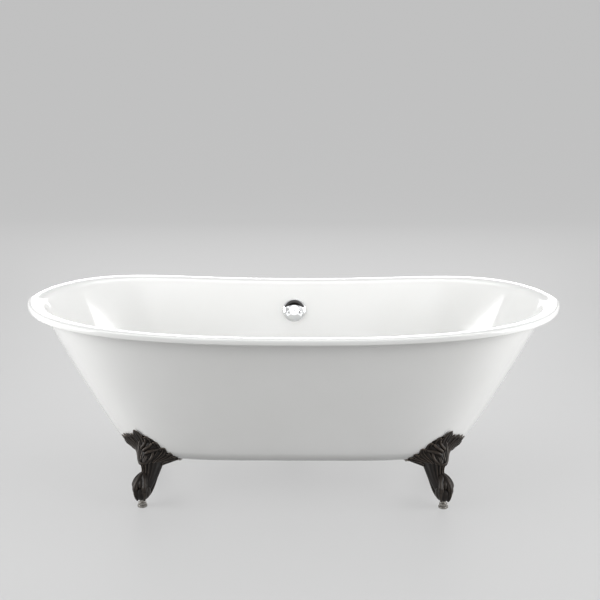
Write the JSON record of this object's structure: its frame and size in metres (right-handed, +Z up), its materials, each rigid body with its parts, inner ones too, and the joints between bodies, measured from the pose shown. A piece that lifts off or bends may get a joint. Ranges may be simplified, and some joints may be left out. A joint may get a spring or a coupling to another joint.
{
  "type": "clawfoot bathtub",
  "caption": "Double-ended enamelled cast-iron bathtub with a rolled, dipped rim, ball-and-claw feet on screw levellers, and an exposed waste and overflow with a toe-tap stopper.",
  "frame": {"origin": "on the floor, under the middle of the tub", "axes": "+X along the tub, +Y towards the overflow and riser at the back, +Z up"},
  "size_m": [1.72, 0.784, 0.6414],
  "materials": {
    "enamelled_iron": "glossy white porcelain enamel inside and over the rim, glossy white enamel outside",
    "bronzed_iron": "dark oil-rubbed bronze over cast iron, satin, lighter brown on the high spots",
    "chrome": "polished",
    "plated_steel": "dull zinc plate",
    "black_rubber": "matte"
  },
  "bodies": {
    "tub": {"tub_shell": "enamelled_iron", "foot_front_left": "bronzed_iron", "foot_front_right": "bronzed_iron", "foot_back_left": "bronzed_iron", "foot_back_right": "bronzed_iron", "foot_studs": "plated_steel", "foot_washers": "plated_steel", "foot_nuts": "plated_steel", "overflow_faceplate": "chrome", "overflow_screws": "chrome", "overflow_gasket": "black_rubber", "overflow_elbow": "chrome", "overflow_riser": "chrome", "waste_tee": "chrome", "shoe_tube": "chrome", "tailpiece": "chrome", "slip_nuts": "chrome", "slip_washers": "black_rubber", "drain_flange": "chrome", "drain_gasket": "black_rubber", "drain_shoe": "chrome", "stopper_post": "chrome"},
    "stopper": {"stopper_cap": "chrome", "stopper_seal": "black_rubber", "stopper_sleeve": "chrome"},
    "leveller_front_left": {"leveller_pad_front_left": "plated_steel"},
    "leveller_screw_front_left": {"leveller_screw_front_left": "plated_steel"},
    "leveller_front_right": {"leveller_pad_front_right": "plated_steel"},
    "leveller_screw_front_right": {"leveller_screw_front_right": "plated_steel"},
    "leveller_back_left": {"leveller_pad_back_left": "plated_steel"},
    "leveller_screw_back_left": {"leveller_screw_back_left": "plated_steel"},
    "leveller_back_right": {"leveller_pad_back_right": "plated_steel"},
    "leveller_screw_back_right": {"leveller_screw_back_right": "plated_steel"}
  },
  "joints": [
    {"name": "stopper_push", "type": "slide", "parent": "tub", "child": "stopper", "axis": [0, 0, 1], "range_m": [-0.0077, 0], "stiffness_N_per_m": 300, "springref_m": 0.012},
    {"name": "leveller_raise_front_left", "type": "slide", "parent": "tub", "child": "leveller_front_left", "axis": [0, 0, 1], "range_m": [-0.01, 0]},
    {"name": "leveller_turn_front_left", "type": "hinge", "parent": "leveller_front_left", "child": "leveller_screw_front_left", "pos_m": [-0.484, -0.205, 0.012], "axis": [0, 0, 1], "range_deg": [-2401, 0]},
    {"name": "leveller_raise_front_right", "type": "slide", "parent": "tub", "child": "leveller_front_right", "axis": [0, 0, 1], "range_m": [-0.01, 0]},
    {"name": "leveller_turn_front_right", "type": "hinge", "parent": "leveller_front_right", "child": "leveller_screw_front_right", "pos_m": [0.484, -0.205, 0.012], "axis": [0, 0, 1], "range_deg": [-2401, 0]},
    {"name": "leveller_raise_back_left", "type": "slide", "parent": "tub", "child": "leveller_back_left", "axis": [0, 0, 1], "range_m": [-0.01, 0]},
    {"name": "leveller_turn_back_left", "type": "hinge", "parent": "leveller_back_left", "child": "leveller_screw_back_left", "pos_m": [-0.484, 0.205, 0.012], "axis": [0, 0, 1], "range_deg": [-2401, 0]},
    {"name": "leveller_raise_back_right", "type": "slide", "parent": "tub", "child": "leveller_back_right", "axis": [0, 0, 1], "range_m": [-0.01, 0]},
    {"name": "leveller_turn_back_right", "type": "hinge", "parent": "leveller_back_right", "child": "leveller_screw_back_right", "pos_m": [0.484, 0.205, 0.012], "axis": [0, 0, 1], "range_deg": [-2401, 0]}
  ],
  "couplings": [
    {"joint": "leveller_turn_front_left", "follows": "leveller_raise_front_left", "rad_per_m": 4188.8},
    {"joint": "leveller_turn_front_right", "follows": "leveller_raise_front_right", "rad_per_m": 4188.8},
    {"joint": "leveller_turn_back_left", "follows": "leveller_raise_back_left", "rad_per_m": 4188.8},
    {"joint": "leveller_turn_back_right", "follows": "leveller_raise_back_right", "rad_per_m": 4188.8}
  ]
}
